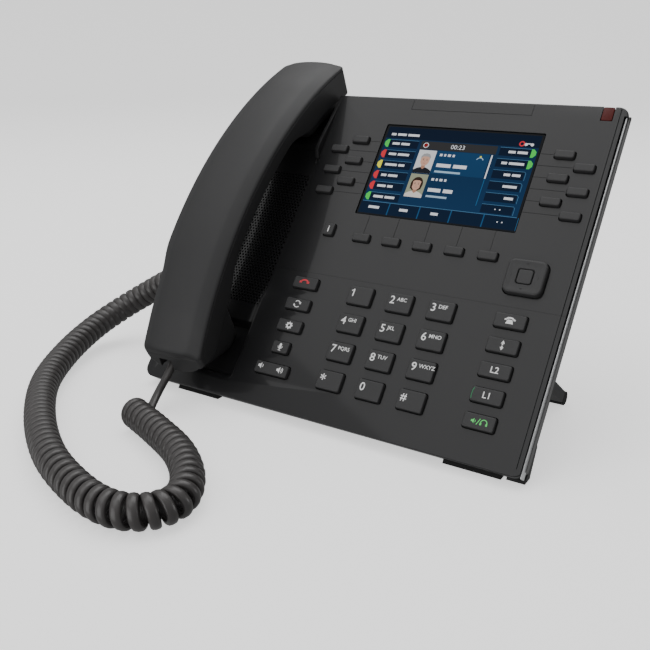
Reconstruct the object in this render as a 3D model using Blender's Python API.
"""Desk telephone: sloping body with a colour screen and keys, a corded handset and a rear stand.

Lengths are in millimetres and are turned into metres when a mesh is made. Most pieces are drawn in
the face frame, whose origin is the middle of the screen: x runs to the right, y up the slope and
z out of the face. An empty tips that frame back by FACE_TILT. The world has +Z up and +Y to the
back, and the phone stands on z = 0.
"""
import math

import bmesh
import bpy
from mathutils import Vector

MM = 0.001
GAP = 0.3

# Driving dimensions
FACE_TILT = math.radians(51.4)
SCREEN_CENTRE = (30.75, 29.42, 124.7)
FACE_LEFT, FACE_RIGHT = -148.5, 87.0
FACE_BOTTOM, FACE_TOP = -151.5, 48.5
COVER_DEPTH = 8.0
WALL = 2.2
BACK = -30.0
LOWER_BACK = -22.0
BACK_STEP = -27.0
CORNER = 6.0

SCREEN_SIZE = (95.0, 59.2)
KEY_GAP = 0.35
KEY_RISE = 2.0
FLANGE = 0.8
TILT_SLACK = 0.9

GROOVE_X = 82.7
TRIM_X = 85.2
CRADLE_RIGHT = -86.0
CUP_LEFT, CUP_RIGHT = -138.0, -88.0
MOUTH_CUP = (-139.0, -107.0)
MOUTH_CUP_FLOOR = -6.0
EAR_CUP_START = 10.0
EAR_CUP_SLOPE = -0.4
CRADLE_SINK = 2.5
SPEAKER = (-114.5, -52.0)

HANDSET_X = -112.0
HANDSET_HALF = 22.0
HANDSET_MIDDLE = (-38.15, 14.55)
HANDSET_TILT = math.radians(-6.5)
ARC_RADIUS = 252.0
HALF_CHORD = 104.5
SHELL = 2.0
CRADLE_CLEARANCE = 1.6
RECEIVER = (37.0, 11.5, 6.0)
NOTCH = (-123.5, -144.5, 10.0, 8.6, 7.6)
HOOK_X, HOOK_Y = HANDSET_X, 24.0
HOOK_TOP = -4.6
HOOK_TRAVEL = 3.5
HOOK_STEM = (8.0, 5.0)

# Socket bay in the back: x and y limits, roof, the sockets' centres and widths, and their heights.
BAY = (-62.0, 30.0, -25.0, -2.0)
BAY_ROOF = -13.0
JACK_SOCKETS = [(-44.0, 11.8), (-26.0, 11.8), (-6.0, 9.0), (14.0, 8.0)]
JACK_HEIGHT = (-24.0, -15.5)
CORD_SOCKET = (-75.0, -14.5, 8.2, 7.2)

FOOT_PADS = [(-126.3, -96.1), (44.6, 74.7)]
PAD_FRONT = -89.0
PAD_LENGTH = 12.0
PAD_HEIGHT = 2.6

STAND_HINGE = (-93.0, -27.0)
HINGE_LUGS = (-100.0, 40.0)
LUG_HALF = 4.0
PIN_RADIUS = 1.7
STAND_LEFT, STAND_RIGHT = -134.0, 74.0
FOOT_BAR = (11.0, 3.6)
FOOT_RADIUS = 4.0

COIL_DIAMETER = 16.5
LEAD_WIDTH = 4.6

# Key tables: name, centre x, centre y, width, height
DIGIT_NAMES = ["digit_key_1", "digit_key_2", "digit_key_3", "digit_key_4", "digit_key_5",
               "digit_key_6", "digit_key_7", "digit_key_8", "digit_key_9", "star_key",
               "digit_key_0", "hash_key"]
RIGHT_NAMES = ["directory_key", "swap_key", "line_2_key", "line_1_key", "speaker_key"]
LEFT_NAMES = ["hang_up_key", "redial_key", "options_key"]


def key_table():
    """Every push key as (name, x, y, width, height)."""
    keys = []
    for index, name in enumerate(DIGIT_NAMES):
        keys.append((name, -1.3 + 23.95 * (index % 3 - 1), -79.2 - 16.5 * (index // 3), 14.4, 10.4))
    for index, name in enumerate(RIGHT_NAMES):
        keys.append((name, 59.6, -77.9 - 13.2 * index, 16.0, 7.4))
    for index, name in enumerate(LEFT_NAMES):
        keys.append((name, -61.4, -77.4 - 13.2 * index, 15.4, 6.6))
    keys.append(("mute_key", -61.9, -117.0, 10.6, 6.6))
    for index in range(6):
        x = 61.0 if index % 2 == 0 else 73.0
        y = 17.5 - 7.0 * index
        keys.append((f"left_tab_key_{index + 1}", -x, y, 10.4, 4.2))
        keys.append((f"right_tab_key_{index + 1}", x, y, 10.4, 4.2))
    for index in range(5):
        keys.append((f"soft_key_{index + 1}", 18.8 * (index - 2), -44.9, 10.4, 4.4))
    keys.append(("info_key", -59.6, -42.6, 6.4, 7.2))
    return keys


ROCKER = ("volume_rocker", -62.4, -130.2, 21.2, 6.6)
RING = ("navigation_ring", 60.5, -54.0, 20.4, 18.6)
SELECT = ("select_key", 60.5, -54.0, 7.6, 7.6)


# ---------------------------------------------------------------- helpers
def clear_scene():
    for item in list(bpy.data.objects):
        bpy.data.objects.remove(item, do_unlink=True)


def material(name, colour, roughness, metallic=0.0):
    made = bpy.data.materials.new(name)
    made.use_nodes = True
    shader = made.node_tree.nodes["Principled BSDF"]
    shader.inputs["Base Color"].default_value = (*colour, 1.0)
    shader.inputs["Roughness"].default_value = roughness
    shader.inputs["Metallic"].default_value = metallic
    made.diffuse_color = (*colour, 1.0)
    return made


def add_object(name, bm, surface, parent=None, place=(0.0, 0.0, 0.0)):
    """Make an object from a bmesh drawn in millimetres, with its origin at place."""
    bmesh.ops.recalc_face_normals(bm, faces=bm.faces)
    bmesh.ops.scale(bm, vec=(MM, MM, MM), verts=bm.verts)
    mesh = bpy.data.meshes.new(name)
    bm.to_mesh(mesh)
    bm.free()
    made = bpy.data.objects.new(name, mesh)
    bpy.context.scene.collection.objects.link(made)
    made.parent = parent
    made.location = Vector(place) * MM
    if surface:
        mesh.materials.append(surface)
    return made


def add_empty(name, place, tilt, parent=None):
    made = bpy.data.objects.new(name, None)
    bpy.context.scene.collection.objects.link(made)
    made.parent = parent
    made.location = Vector(place) * MM
    made.rotation_euler = (tilt, 0.0, 0.0)
    return made


def loft(bm, rings):
    """A closed solid through rings of equal length, capped at both ends."""
    loops = [[bm.verts.new(point) for point in ring] for ring in rings]
    count = len(loops[0])
    for lower, upper in zip(loops, loops[1:]):
        for i in range(count):
            j = (i + 1) % count
            bm.faces.new((lower[i], lower[j], upper[j], upper[i]))
    bm.faces.new(list(reversed(loops[0])))
    bm.faces.new(loops[-1])


def box(bm, low, high):
    (x0, y0, z0), (x1, y1, z1) = low, high
    ring = [(x0, y0), (x1, y0), (x1, y1), (x0, y1)]
    loft(bm, [[(x, y, z) for x, y in ring] for z in (z0, z1)])


def boxed(low, high):
    bm = bmesh.new()
    box(bm, low, high)
    return bm


def side_prism(bm, profile, x0, x1):
    """Extrude a (y, z) outline along x."""
    loft(bm, [[(x, y, z) for y, z in profile] for x in (x0, x1)])


def rectangle(x, y, width, height, corner, steps=1):
    """A rectangle's outline with round corners, anticlockwise."""
    points = []
    centres = [(1, 1, 0), (-1, 1, 90), (-1, -1, 180), (1, -1, 270)]
    for sx, sy, start in centres:
        cx = x + sx * (width / 2 - corner)
        cy = y + sy * (height / 2 - corner)
        for step in range(steps + 1):
            angle = math.radians(start + 90 * step / steps)
            points.append((cx + corner * math.cos(angle), cy + corner * math.sin(angle)))
    return points


def circle(radius, sides):
    return [(radius * math.cos(2 * math.pi * i / sides), radius * math.sin(2 * math.pi * i / sides))
            for i in range(sides)]


def cylinder(bm, radius, z0, z1, sides=20):
    loft(bm, [[(x, y, z) for x, y in circle(radius, sides)] for z in (z0, z1)])


def tool(name, bm, parent):
    """A cutter or a lump to be joined on: hidden, and left out of the model."""
    made = add_object(name, bm, None, parent)
    made.hide_render = True
    made.display_type = "WIRE"
    return made


def combine(target, helper, operation):
    step = target.modifiers.new(helper.name, "BOOLEAN")
    step.operation = operation
    step.solver = "EXACT"
    step.object = helper


def cut(target, name, bm, parent):
    combine(target, tool(name, bm, parent), "DIFFERENCE")


def join(target, name, bm, parent):
    combine(target, tool(name, bm, parent), "UNION")


def smooth(item, angle=35.0):
    item.data.shade_smooth()
    item.data.set_sharp_from_angle(angle=math.radians(angle))


def slope_to_world(y, z):
    """A (y, z) point of the face frame as world (y, z), millimetres."""
    cos, sin = math.cos(FACE_TILT), math.sin(FACE_TILT)
    return (SCREEN_CENTRE[1] + y * cos - z * sin, SCREEN_CENTRE[2] + y * sin + z * cos)


def world_to_slope(y, z):
    """A world (y, z) point as (y, z) of the face frame, millimetres."""
    cos, sin = math.cos(FACE_TILT), math.sin(FACE_TILT)
    dy, dz = y - SCREEN_CENTRE[1], z - SCREEN_CENTRE[2]
    return (dy * cos + dz * sin, -dy * sin + dz * cos)


# ---------------------------------------------------------------- body covers
def cover_outline(inset, lift_bottom=0.0):
    """The face's outline, drawn in by inset, with the bottom edge raised by lift_bottom."""
    width = FACE_RIGHT - FACE_LEFT - 2 * inset
    height = FACE_TOP - FACE_BOTTOM - 2 * inset - lift_bottom
    x = (FACE_LEFT + FACE_RIGHT) / 2
    y = (FACE_TOP + FACE_BOTTOM + lift_bottom) / 2
    return rectangle(x, y, width, height, CORNER - inset, 4)


def ear_cup_floor(y):
    return -0.5 + EAR_CUP_SLOPE * (y - EAR_CUP_START - 3.0)


def make_front_cover(frame, surface):
    bm = bmesh.new()
    rings = [(0.6, 2.2, -COVER_DEPTH), (0.0, 0.0, -1.2), (0.9, 0.0, 0.0)]
    loft(bm, [[(x, y, z) for x, y in cover_outline(inset, lift)] for inset, lift, z in rings])
    cover = add_object("front_cover", bm, surface, frame)

    # The sloping tub under the earpiece hangs below the cover, and a lip stands beside it.
    tub = [(22.0, -7.0), (FACE_TOP - 0.2, -7.0), (FACE_TOP - 0.2, ear_cup_floor(FACE_TOP) - WALL),
           (26.0, ear_cup_floor(26.0) - WALL)]
    bm = bmesh.new()
    side_prism(bm, tub, CUP_LEFT - WALL, CRADLE_RIGHT)
    join(cover, "ear_tub", bm, frame)
    lip = [(47.5, -1.5), (47.5, 0.0), (12.0, 4.2), (7.0, 3.2), (3.5, -1.5)]
    bm = bmesh.new()
    side_prism(bm, lip, CUP_RIGHT, CRADLE_RIGHT + 0.2)
    join(cover, "ear_lip", bm, frame)

    # Room for the works behind the face and for the speaker behind its grille.
    bm = boxed((CRADLE_RIGHT + 1.8, FACE_BOTTOM + 3.6, -COVER_DEPTH - 1.0),
               (TRIM_X - 3.0, FACE_TOP - WALL, -WALL))
    box(bm, (-137.0, -90.0, -COVER_DEPTH - 1.0), (-92.0, -14.0, -CRADLE_SINK - WALL))
    cut(cover, "cover_room", bm, frame)

    # Cradle: a shallow trough with a cup at each end.
    bm = boxed((-146.0, MOUTH_CUP[1] - 1.0, -CRADLE_SINK), (CRADLE_RIGHT - 0.4, EAR_CUP_START + 4, 9.0))
    cut(cover, "trough", bm, frame)
    bm = boxed((CUP_LEFT, MOUTH_CUP[0], MOUTH_CUP_FLOOR), (CUP_RIGHT, MOUTH_CUP[1], 9.0))
    cut(cover, "mouth_cup", bm, frame)
    cup = [(EAR_CUP_START, 9.0), (EAR_CUP_START, ear_cup_floor(EAR_CUP_START)),
           (FACE_TOP + 3.0, ear_cup_floor(FACE_TOP + 3.0)), (FACE_TOP + 3.0, 9.0)]
    bm = bmesh.new()
    side_prism(bm, cup, CUP_LEFT, CUP_RIGHT)
    cut(cover, "ear_cup", bm, frame)

    # Openings for the keys, the screen, the message lamp and the hook switch.
    bm = bmesh.new()
    for _, x, y, width, height in key_table() + [ROCKER, RING]:
        half_w, half_h = width / 2 + KEY_GAP, height / 2 + KEY_GAP
        box(bm, (x - half_w, y - half_h, -9.0), (x + half_w, y + half_h, 5.0))
    half_w, half_h = SCREEN_SIZE[0] / 2 + GAP, SCREEN_SIZE[1] / 2 + GAP
    box(bm, (-half_w, -half_h, -9.0), (half_w, half_h, 5.0))
    box(bm, (73.5 - GAP, 39.8 - GAP, -9.0), (79.2 + GAP, FACE_TOP + 2.0, 5.0))
    half_w, half_h = HOOK_STEM[0] / 2 + GAP, HOOK_STEM[1] / 2 + GAP
    box(bm, (HOOK_X - half_w, HOOK_Y - half_h, -12.0), (HOOK_X + half_w, HOOK_Y + half_h, 5.0))
    cut(cover, "face_openings", bm, frame)

    # Fine groove along the right, and the rebate that holds the bright trim.
    bm = boxed((GROOVE_X, FACE_BOTTOM + 5.0, -0.6), (GROOVE_X + 0.5, FACE_TOP - 1.5, 1.0))
    box(bm, (TRIM_X - GAP, FACE_BOTTOM - 2.0, -4.4), (FACE_RIGHT + 2.0, FACE_TOP - CORNER + GAP, 1.0))
    cut(cover, "groove_and_rebate", bm, frame)
    return cover


def make_edge_trim(frame, surface):
    bm = bmesh.new()
    rings = []
    for y in (FACE_BOTTOM + 0.4, FACE_TOP - CORNER):
        outer = FACE_RIGHT
        profile = [(TRIM_X, -1.0), (TRIM_X + 0.7, -1.0), (outer, -2.9), (outer, -4.1), (TRIM_X, -4.1)]
        rings.append([(x, y, z) for x, z in profile])
    loft(bm, rings)
    return add_object("edge_trim", bm, surface, frame)


def rear_profile(inset):
    """The rear cover's side outline in the face frame, drawn in by inset."""
    top = FACE_TOP - 0.5 - inset
    floor = BACK + inset
    lower = LOWER_BACK + inset
    rim = -COVER_DEPTH - GAP
    if inset:
        rim += 1.0
    ground_start = world_to_slope(0.0, 3.0 + inset)
    slope = math.tan(FACE_TILT)

    def along_ground(z):
        # A line parallel to the table: in the face frame y falls as z rises.
        return ground_start[0] + (ground_start[1] - z) / slope

    return [(top, rim), (top, floor), (BACK_STEP + inset, floor), (BACK_STEP - 3.0 + inset, lower),
            (along_ground(lower), lower), (along_ground(rim), rim)]


def rear_block(name, inset, frame, surface):
    bm = bmesh.new()
    side_prism(bm, rear_profile(inset), FACE_LEFT + 0.6 + inset, FACE_RIGHT - 0.8 - inset)
    block = add_object(name, bm, surface, frame)
    # The right-hand wall leans in towards the back.
    bm = bmesh.new()
    start = FACE_RIGHT - 0.8 - inset
    wedge = [(start + 0.01, -9.8), (start - 24.0, -9.8 - 24.0 / 0.9), (start + 30.0, -9.8 - 24.0 / 0.9)]
    loft(bm, [[(x, y, z) for x, z in wedge] for y in (-170.0, 70.0)])
    cut(block, name + "_wedge", bm, frame)
    return block


def make_rear_cover(frame, surface):
    cover = rear_block("rear_cover", 0.0, frame, surface)
    room = rear_block("rear_room", WALL, frame, None)
    room.hide_render = True
    room.display_type = "WIRE"
    combine(cover, room, "DIFFERENCE")

    # Walls of the socket bay and of the cord socket, then their hollows.
    x0, x1, y0, y1 = BAY
    bm = boxed((x0 - 2.0, y0 - 2.0, BACK + 1.0), (x1 + 2.0, y1 + 2.0, BAY_ROOF + 2.0))
    join(cover, "bay_walls", bm, frame)
    y, z, width, height = CORD_SOCKET
    bm = boxed((FACE_LEFT + 1.6, y - width / 2 - 2.0, z - height / 2 - 1.5),
               (-128.0, y + width / 2 + 2.0, z + height / 2 + 1.5))
    join(cover, "cord_socket_walls", bm, frame)
    bm = boxed((x0, y0, BACK - 2.0), (x1, y1, BAY_ROOF))
    cut(cover, "bay", bm, frame)
    bm = boxed((FACE_LEFT - 3.0, y - width / 2, z - height / 2), (-131.0, y + width / 2, z + height / 2))
    cut(cover, "cord_socket", bm, frame)
    bm = bmesh.new()
    for x, opening in JACK_SOCKETS:
        box(bm, (x - opening / 2, y1 - 2.0, JACK_HEIGHT[0]), (x + opening / 2, y1 + 4.0, JACK_HEIGHT[1]))
    cut(cover, "jack_windows", bm, frame)

    # The tub under the earpiece and the earpiece itself pass through the top wall.
    bm = boxed((CUP_LEFT - WALL - GAP, FACE_TOP - 5.0, ear_cup_floor(FACE_TOP) - WALL - GAP),
               (CRADLE_RIGHT + GAP, FACE_TOP + 3.0, -5.0))
    cut(cover, "tub_notch", bm, frame)

    # A corner lug that shows beside and below the face's bottom right corner.
    low = world_to_slope(0.0, 0.6)
    slope = math.tan(FACE_TILT)
    lug = []
    for z in (-COVER_DEPTH - GAP, -13.5):
        lug.append((low[0] + (low[1] - z) / slope, z))
    lug += [(-133.0, -11.0), (-131.0, -COVER_DEPTH - GAP)]
    bm = bmesh.new()
    side_prism(bm, lug, 77.0, 86.2)
    join(cover, "corner_lug", bm, frame)

    # Lugs that carry the stand's pin.
    y, z = STAND_HINGE
    for index, x in enumerate(HINGE_LUGS):
        profile = [(y - 3.5, LOWER_BACK + 1.0), (y - 3.5, z - 3.5), (y + 3.0, z - 3.5), (y + 7.5, -24.0),
                   (y + 7.5, LOWER_BACK + 1.0)]
        bm = bmesh.new()
        side_prism(bm, profile, x - LUG_HALF, x + LUG_HALF)
        join(cover, f"hinge_lug_{index}", bm, frame)
    bm = bmesh.new()
    hole = [(y + dy, z + dz) for dy, dz in circle(PIN_RADIUS + GAP, 12)]
    for x in HINGE_LUGS:
        side_prism(bm, hole, x - LUG_HALF - 2.0, x + LUG_HALF + 2.0)
    cut(cover, "pin_holes", bm, frame)
    return cover


# ---------------------------------------------------------------- works inside the body
def make_display(frame, surface):
    bm = bmesh.new()
    half_w, half_h = SCREEN_SIZE[0] / 2, SCREEN_SIZE[1] / 2
    sections = [(3.5, -5.8), (3.5, -2.6), (0.0, -2.6), (0.0, -0.5)]
    loft(bm, [[(x, y, z) for x, y in rectangle(0, 0, 2 * (half_w + rim), 2 * (half_h + rim), 0.5)]
              for rim, z in sections])
    return add_object("display_panel", bm, surface, frame)


def make_lamp(frame, surface):
    bm = boxed((73.5, 39.8, -6.0), (79.2, FACE_TOP - 0.6, 0.1))
    return add_object("message_lamp", bm, surface, frame)


def make_main_board(frame, surfaces):
    """The board behind the face, and the socket block that stands on it."""
    bm = boxed((-80.0, -142.0, -7.9), (79.0, 44.0, -6.4))
    add_object("main_board", bm, surfaces["board"], frame)
    y1 = BAY[3]
    bm = boxed((-53.0, y1 + 2.6, -25.5), (24.0, y1 + 20.0, -8.2))
    block = add_object("socket_block", bm, surfaces["jack"], frame)
    bm = bmesh.new()
    for x, opening in JACK_SOCKETS:
        box(bm, (x - opening / 2, y1, JACK_HEIGHT[0]), (x + opening / 2, y1 + 15.0, JACK_HEIGHT[1]))
    cut(block, "jack_sockets", bm, frame)


def make_speaker(frame, surface):
    bm = bmesh.new()
    profile = [(21.0, -CRADLE_SINK - WALL - GAP), (21.0, -7.5), (17.0, -11.0), (11.0, -12.0), (11.0, -17.0)]
    loft(bm, [[(x, y, z) for x, y in circle(radius, 24)] for radius, z in profile])
    made = add_object("base_speaker", bm, surface, frame, (SPEAKER[0], SPEAKER[1], 0.0))
    smooth(made)
    return made


def make_hook_switch(frame, surface):
    """A plunger under the earpiece, whose stem runs through the floor of the ear cup."""
    bm = bmesh.new()
    w, h = HOOK_STEM
    shoulder = ear_cup_floor(HOOK_Y + h / 2 + 1.5) - WALL - HOOK_TRAVEL - GAP
    sections = [(w + 3.0, h + 3.0, shoulder - 2.0), (w + 3.0, h + 3.0, shoulder), (w, h, shoulder),
                (w, h, HOOK_TOP - 0.6), (w - 1.2, h - 1.2, HOOK_TOP)]
    loft(bm, [[(x, y, z) for x, y in rectangle(0, 0, width, height, 0.6)] for width, height, z in sections])
    return add_object("hook_switch", bm, surface, frame, (HOOK_X, HOOK_Y, 0.0))


# ---------------------------------------------------------------- keys
def key_body(width, height, rise, corner=0.9, slack=0.4):
    """A cap with a chamfered top edge over a retaining flange, slack below the cover."""
    bm = bmesh.new()
    top = -WALL - slack
    sections = [(FLANGE, -4.6), (FLANGE, top), (0.0, top), (0.0, rise - 0.45), (-0.45, rise)]
    loft(bm, [[(x, y, z) for x, y in rectangle(0, 0, width + 2 * grow, height + 2 * grow, corner)]
              for grow, z in sections])
    return bm


def make_keys(frame, surfaces):
    for name, x, y, width, height in key_table():
        surface = surfaces["key"]
        add_object(name, key_body(width, height, KEY_RISE), surface, frame, (x, y, 0.0))
    name, x, y, width, height = ROCKER
    body = key_body(width, height, KEY_RISE, slack=TILT_SLACK)
    add_object(name, body, surfaces["key"], frame, (x, y, 0.0))
    name, x, y, width, height = RING
    body = key_body(width, height, 3.2, 3.6, TILT_SLACK)
    ring = add_object(name, body, surfaces["key"], frame, (x, y, 0.0))
    wide, narrow = SELECT[3] + 2 * FLANGE + 1.2, SELECT[3] + 2 * KEY_GAP
    bm = bmesh.new()
    loft(bm, [[(x + dx, y + dy, z) for dx, dy in rectangle(0, 0, size, size, 1.2)]
              for size, z in [(wide, -9.0), (wide, -WALL - 0.1), (narrow, -WALL - 0.1), (narrow, 9.0)]])
    cut(ring, "select_opening", bm, frame)
    name, x, y, width, height = SELECT
    body = key_body(width, height, 3.0, 1.2, TILT_SLACK)
    add_object(name, body, surfaces["key"], frame, (x, y, 0.0))


# ---------------------------------------------------------------- handset
def arc_height(y):
    """Height of the parting line over the handset's chord."""
    return math.sqrt(ARC_RADIUS ** 2 - y ** 2) - math.sqrt(ARC_RADIUS ** 2 - HALF_CHORD ** 2)


def ease(value, start, end):
    """0 before start, 1 after end, and a smooth rise between them."""
    t = min(max((value - start) / (end - start), 0.0), 1.0)
    return t * t * (3.0 - 2.0 * t)


def face_to_handset(y, z):
    """A face-frame (y, z) point as (y, z) of the handset's own frame."""
    cos, sin = math.cos(HANDSET_TILT), math.sin(HANDSET_TILT)
    dy, dz = y - HANDSET_MIDDLE[0], z - HANDSET_MIDDLE[1]
    return (dy * cos + dz * sin, -dy * sin + dz * cos)


def side_depth(y):
    """Depth of the lower shell's side below the parting line."""
    mouth = ease(-y, 42.0, 68.0)
    ear = ease(y, 34.0, 56.0)
    end = ease(-y, 98.0, HALF_CHORD)
    return 8.0 + 7.5 * mouth + 7.0 * ear - 7.0 * end


def end_lean(y, drop):
    """Shift along the handset that leans its two end faces."""
    if y <= -HALF_CHORD + 7:
        return -0.10 * drop
    return -0.40 * drop * ease(y, 60.0, 104.0)


def ear_face_height(y):
    """Height at station y of the earpiece's face, which stays clear of the sloping ear cup."""
    cos, sin = math.cos(HANDSET_TILT), math.sin(HANDSET_TILT)
    z = -20.0
    for _ in range(6):
        leaned = y + end_lean(y, arc_height(y) - z)
        face_y = HANDSET_MIDDLE[0] + leaned * cos - z * sin
        z = face_to_handset(face_y, ear_cup_floor(face_y) + CRADLE_CLEARANCE)[1]
    return z


def belly_height(y):
    """Height of the lower shell's underside at its middle, in the handset's frame."""
    grip = arc_height(y) - 10.5
    mouth_face = face_to_handset(-124.0, MOUTH_CUP_FLOOR + 1.4)[1] + (y + 86.0) * math.sin(-HANDSET_TILT)
    mouth_face += 9.4 * ease(-y, 88.0, 104.0)
    mouth = ease(-y, 62.0, 74.0)
    ear = ease(y, 44.0, 58.0)
    return grip + (mouth_face - grip) * mouth + (ear_face_height(y) - grip) * ear


STATIONS = [-104.5, -98, -92, -85, -78, -71, -64, -56, -46, -30, -12, 6, 24, 36, 44, 52, 60, 70, 82, 94,
            104.5]


def lower_rings(inset, lid):
    rings = []
    for y in STATIONS:
        if inset and abs(y) > 100.0:
            y = math.copysign(HALF_CHORD - inset - 0.4, y)
        top = arc_height(y) - GAP / 2 + lid
        half = HANDSET_HALF - inset
        edge = arc_height(y) - side_depth(y) + inset * 0.6
        belly = min(belly_height(y) + inset, edge - 1.2)
        outline = [(half, top), (half, edge), (half - 4.0, edge - 1.0), (half - 8.0, belly),
                   (8.0 - half, belly), (4.0 - half, edge - 1.0), (-half, edge), (-half, top)]
        rings.append([(x, y + end_lean(y, arc_height(y) - z), z) for x, z in outline])
    return rings


def upper_rings(inset, drop):
    rings = []
    for y in STATIONS:
        if inset and abs(y) > 100.0:
            y = math.copysign(HALF_CHORD - inset - 0.4, y)
        base = arc_height(y) + GAP / 2 - drop
        crown = arc_height(y) + 6.4 - inset
        if abs(y) > 100.0:
            crown -= 1.6
        half = HANDSET_HALF - inset
        edge = max(crown - 5.6, base + 0.3)
        outline = [(-half, base), (-half, edge), (-half + 1.4, crown - 4.0), (-13.5, crown - 0.9),
                   (-8.0, crown), (8.0, crown), (13.5, crown - 0.9), (half - 1.4, crown - 4.0),
                   (half, edge), (half, base)]
        rings.append([(x, y + end_lean(y, arc_height(y) - z), z) for x, z in outline])
    return rings


def make_shell(name, outer, inner, frame, surface, opening=None):
    bm = bmesh.new()
    loft(bm, outer)
    made = add_object(name, bm, surface, frame)
    if opening:
        cut(made, name + "_opening", opening, frame)
    bm = bmesh.new()
    loft(bm, inner)
    cut(made, name + "_room", bm, frame)
    return made


def make_handset(frame, surfaces):
    place = (HANDSET_X, HANDSET_MIDDLE[0], HANDSET_MIDDLE[1])
    handset = add_empty("handset_frame", place, HANDSET_TILT, frame)
    upper = make_shell("handset_upper_shell", upper_rings(0.0, 0.0), upper_rings(SHELL, 3.0), handset,
                       surfaces["handset"])
    smooth(upper)
    # The end face has an opening for the cord's plug, which is open below so that the cord can pass.
    x, y, z, width, height = NOTCH
    x -= HANDSET_X
    y, z = face_to_handset(y, z)
    opening = boxed((x - width / 2, y - 6.0, z - 18.0), (x + width / 2, y + 9.0, z + height / 2))
    lower = make_shell("handset_lower_shell", lower_rings(0.0, 0.0), lower_rings(SHELL, 1.0), handset,
                       surfaces["handset"], opening)

    y, radius, thickness = RECEIVER
    place = face_to_handset(y, ear_cup_floor(y) + CRADLE_CLEARANCE + SHELL + 1.2)
    bm = bmesh.new()
    cylinder(bm, radius, 0.0, thickness)
    receiver = add_object("handset_receiver", bm, surfaces["driver"], handset, (0.0, *place))
    receiver.rotation_euler = (math.atan(EAR_CUP_SLOPE) - HANDSET_TILT, 0.0, 0.0)
    smooth(receiver)
    y = -84.0
    bm = bmesh.new()
    cylinder(bm, 5.0, 0.0, 5.0, 16)
    microphone = add_object("handset_microphone", bm, surfaces["driver"], handset,
                            (0.0, y, belly_height(y) + SHELL + 1.6))
    microphone.rotation_euler = (-HANDSET_TILT, 0.0, 0.0)
    smooth(microphone)


# ---------------------------------------------------------------- feet and stand

def make_front_foot(surface):
    """A rubber strip with two pads, lying flat on the table, drawn in the world's own frame."""
    x_shift, front = SCREEN_CENTRE[0], SCREEN_CENTRE[1] + PAD_FRONT
    back = front + PAD_LENGTH
    pads = [(x0 + x_shift, x1 + x_shift) for x0, x1 in FOOT_PADS]
    bm = boxed((pads[0][0] + 1.0, back - 6.0, 1.4), (pads[1][1] - 1.0, back - 1.0, PAD_HEIGHT))
    strip = add_object("front_foot", bm, surface)
    for index, (x0, x1) in enumerate(pads):
        profile = [(front, 0.0), (back, 0.0), (back + 1.0, PAD_HEIGHT), (front + 1.6, PAD_HEIGHT)]
        bm = bmesh.new()
        side_prism(bm, profile, x0, x1)
        join(strip, f"foot_pad_{index}", bm, None)
    return strip


def make_stand(frame, surfaces):
    """A plate with two arms, trunnions in the rear cover's lugs and a rubber bar along its foot."""
    hinge_y, hinge_z = STAND_HINGE
    foot_y, foot_z = world_to_slope(SCREEN_CENTRE[1] + FOOT_BAR[0], FOOT_BAR[1])
    run = Vector((foot_y - hinge_y, foot_z - hinge_z))
    length = run.length
    # In the pivot's frame y runs from the hinge to the foot.
    pivot = add_empty("stand_pivot", (0.0, hinge_y, hinge_z), math.atan2(run.y, run.x), frame)
    bm = boxed((STAND_LEFT, 5.0, -3.2), (STAND_RIGHT, length - FOOT_RADIUS - GAP, 3.2))
    stand = add_object("stand", bm, surfaces["shell"], pivot)
    bm = boxed((STAND_LEFT + 24.0, 16.0, -9.0), (STAND_RIGHT - 24.0, length - 14.0, 9.0))
    for x in HINGE_LUGS:
        box(bm, (x - LUG_HALF - GAP, -9.0, -9.0), (x + LUG_HALF + GAP, 9.0, 9.0))
    cut(stand, "stand_openings", bm, pivot)
    bm = bmesh.new()
    for x in HINGE_LUGS:
        for side in (-1, 1):
            near, far = x + side * (LUG_HALF + GAP), x + side * 11.0
            box(bm, (min(near, far), -3.2, -3.0), (max(near, far), 7.0, 3.0))
    join(stand, "stand_knuckles", bm, pivot)
    bm = bmesh.new()
    for x in HINGE_LUGS:
        side_prism(bm, circle(PIN_RADIUS, 12), x - 8.0, x + 8.0)
    join(stand, "trunnions", bm, pivot)

    bm = bmesh.new()
    side_prism(bm, [(y + length, z) for y, z in circle(FOOT_RADIUS, 18)], STAND_LEFT, STAND_RIGHT)
    foot = add_object("stand_foot", bm, surfaces["rubber"], pivot)
    bm = boxed((-150.0, 0.0, -9.0), (150.0, 80.0, 0.0))
    cut(foot, "table_flat", bm, None)
    return pivot


# ---------------------------------------------------------------- cord
# Routes are chosen by hand, in millimetres from the point of the table under the screen's middle.
LEAD_ROUTE = [(-123.5, -94.0, 23.6), (-123.5, -97.0, 19.6), (-123.2, -100.2, 16.4), (-121.4, -104.2, 14.0),
              (-118.6, -108.8, 12.4), (-115.6, -114.4, 11.0), (-113.0, -120.0, 9.4), (-111.2, -125.0, 7.4),
              (-110.6, -128.4, 5.6)]
COIL_ROUTE = [(-112.0, -139.5, 8.4), (-87.0, -149.0, 8.4), (-60.0, -161.5, 8.4), (-40.0, -178.0, 8.4),
              (-31.0, -195.0, 8.4), (-37.0, -209.0, 8.4), (-53.0, -214.5, 8.4), (-79.0, -209.5, 8.4),
              (-113.0, -195.0, 8.4), (-150.0, -169.5, 8.4), (-183.0, -138.0, 8.6), (-206.0, -102.0, 10.2),
              (-216.5, -70.0, 14.8), (-213.0, -48.0, 22.6), (-198.0, -34.5, 34.0), (-177.0, -28.5, 46.8)]
BASE_LEAD_ROUTE = [(-176.2, -28.3, 47.2), (-168.0, -27.6, 51.6), (-161.0, -29.6, 54.8), (-155.0, -33.0, 56.6),
                   (-149.0, -35.2, 57.2), (-142.0, -35.6, 57.2), (-135.5, -35.6, 57.2)]


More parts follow.
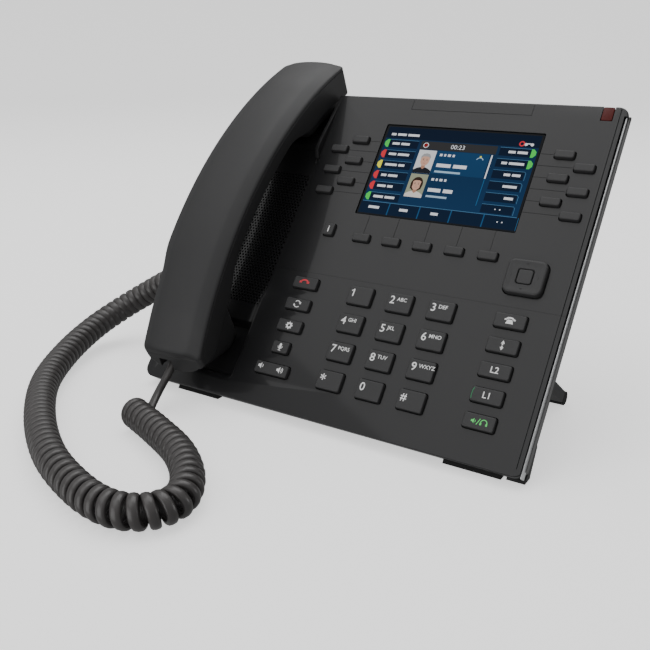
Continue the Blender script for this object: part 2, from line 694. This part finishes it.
def smooth_route(points, spacing):
    """Points about spacing apart along a smooth curve through the given points."""
    nodes = [Vector(p) for p in points]
    nodes = [2 * nodes[0] - nodes[1]] + nodes + [2 * nodes[-1] - nodes[-2]]
    dense = []
    for a, b, c, d in zip(nodes, nodes[1:], nodes[2:], nodes[3:]):
        steps = 12
        for step in range(steps):
            t = step / steps
            dense.append(0.5 * (2 * b + (c - a) * t + (2 * a - 5 * b + 4 * c - d) * t ** 2
                                + (3 * b - a - 3 * c + d) * t ** 3))
    dense.append(nodes[-2])
    lengths = [0.0]
    for p, q in zip(dense, dense[1:]):
        lengths.append(lengths[-1] + (q - p).length)
    count = max(2, round(lengths[-1] / spacing))
    picked, at = [], 0
    for index in range(count + 1):
        target = lengths[-1] * index / count
        while at < len(lengths) - 2 and lengths[at + 1] < target:
            at += 1
        part = (target - lengths[at]) / (lengths[at + 1] - lengths[at])
        picked.append(dense[at].lerp(dense[at + 1], part))
    return picked


def make_tube(name, sections, spacing, rounds, surface):
    """A round tube through sections, each a route and its diameter, that follow one another."""
    widest = max(diameter for _, diameter in sections)
    curve = bpy.data.curves.new(name, "CURVE")
    curve.dimensions = "3D"
    curve.bevel_depth = widest / 2 * MM
    curve.bevel_resolution = rounds
    curve.use_fill_caps = True
    shift = Vector((SCREEN_CENTRE[0], SCREEN_CENTRE[1], 0.0))
    points = []
    for route, diameter in sections:
        points += [((point + shift) * MM, diameter / widest) for point in smooth_route(route, spacing)]
    spline = curve.splines.new("POLY")
    spline.points.add(len(points) - 1)
    for slot, (place, scale) in zip(spline.points, points):
        slot.co = (*place, 1.0)
        slot.radius = scale
    curve.materials.append(surface)
    made = bpy.data.objects.new(name, curve)
    bpy.context.scene.collection.objects.link(made)
    return made


def main():
    clear_scene()
    surfaces = {
        "shell": material("shell_plastic", (0.035, 0.035, 0.038), 0.45),
        "handset": material("handset_plastic", (0.03, 0.03, 0.032), 0.4),
        "key": material("key_plastic", (0.045, 0.045, 0.048), 0.5),
        "rubber": material("foot_rubber", (0.02, 0.02, 0.02), 0.85),
        "trim": material("trim_metal", (0.8, 0.8, 0.82), 0.25, 1.0),
        "screen": material("screen_glass", (0.01, 0.03, 0.1), 0.1),
        "lamp": material("lamp_plastic", (0.25, 0.02, 0.02), 0.3),
        "board": material("circuit_board", (0.02, 0.12, 0.05), 0.5),
        "jack": material("socket_plastic", (0.02, 0.02, 0.02), 0.5),
        "driver": material("driver_metal", (0.2, 0.2, 0.2), 0.4, 0.8),
        "cord": material("cord_plastic", (0.09, 0.08, 0.08), 0.4),
    }
    frame = add_empty("face_frame", SCREEN_CENTRE, FACE_TILT)
    make_front_cover(frame, surfaces["shell"])
    make_rear_cover(frame, surfaces["shell"])
    make_edge_trim(frame, surfaces["trim"])
    make_display(frame, surfaces["screen"])
    make_lamp(frame, surfaces["lamp"])
    make_main_board(frame, surfaces)
    make_speaker(frame, surfaces["driver"])
    make_hook_switch(frame, surfaces["key"])
    make_keys(frame, surfaces)
    make_handset(frame, surfaces)
    make_front_foot(surfaces["rubber"])
    make_stand(frame, surfaces)
    make_tube("cord_lead", [(LEAD_ROUTE, LEAD_WIDTH)], 3.2, 2, surfaces["cord"])
    make_tube("cord_coil", [(COIL_ROUTE, COIL_DIAMETER), (BASE_LEAD_ROUTE, LEAD_WIDTH)], 9.0, 3, surfaces["cord"])


main()
